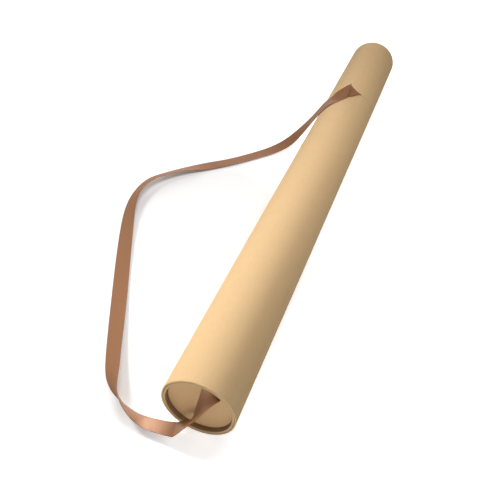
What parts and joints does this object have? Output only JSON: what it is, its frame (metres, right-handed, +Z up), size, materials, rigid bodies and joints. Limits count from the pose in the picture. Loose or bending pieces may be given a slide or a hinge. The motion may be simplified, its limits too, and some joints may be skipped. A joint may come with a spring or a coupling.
{
  "type": "poster tube",
  "caption": "Kraft board mailing tube with a pull-off lid on an inner neck, recessed end discs and a loose satin ribbon strap from the bottom end to the lid's seam.",
  "frame": {"origin": "on the floor under the middle of the tube's length, as it lies", "axes": "+Y along the tube from the bottom end to the lid, +Z up, +X to the side away from the strap"},
  "size_m": [0.2252, 0.6575, 0.0678],
  "materials": {
    "kraft_outer": "smooth natural kraft paper with faint fibres",
    "kraft_inner": "raw wound board, cut edges rounded",
    "kraft_disc": "flat kraft board",
    "satin_ribbon": "woven satin with a soft sheen"
  },
  "bodies": {
    "body": {"body_sleeve": "kraft_outer", "core_tube": "kraft_inner", "bottom_disc": "kraft_disc", "strap": "satin_ribbon"},
    "lid": {"lid_sleeve": "kraft_outer", "lid_liner": "kraft_inner", "lid_disc": "kraft_disc"}
  },
  "joints": [
    {"name": "lid_pull", "type": "slide", "parent": "body", "child": "lid", "axis": [0, 1, 0], "range_m": [0, 0.15]}
  ]
}
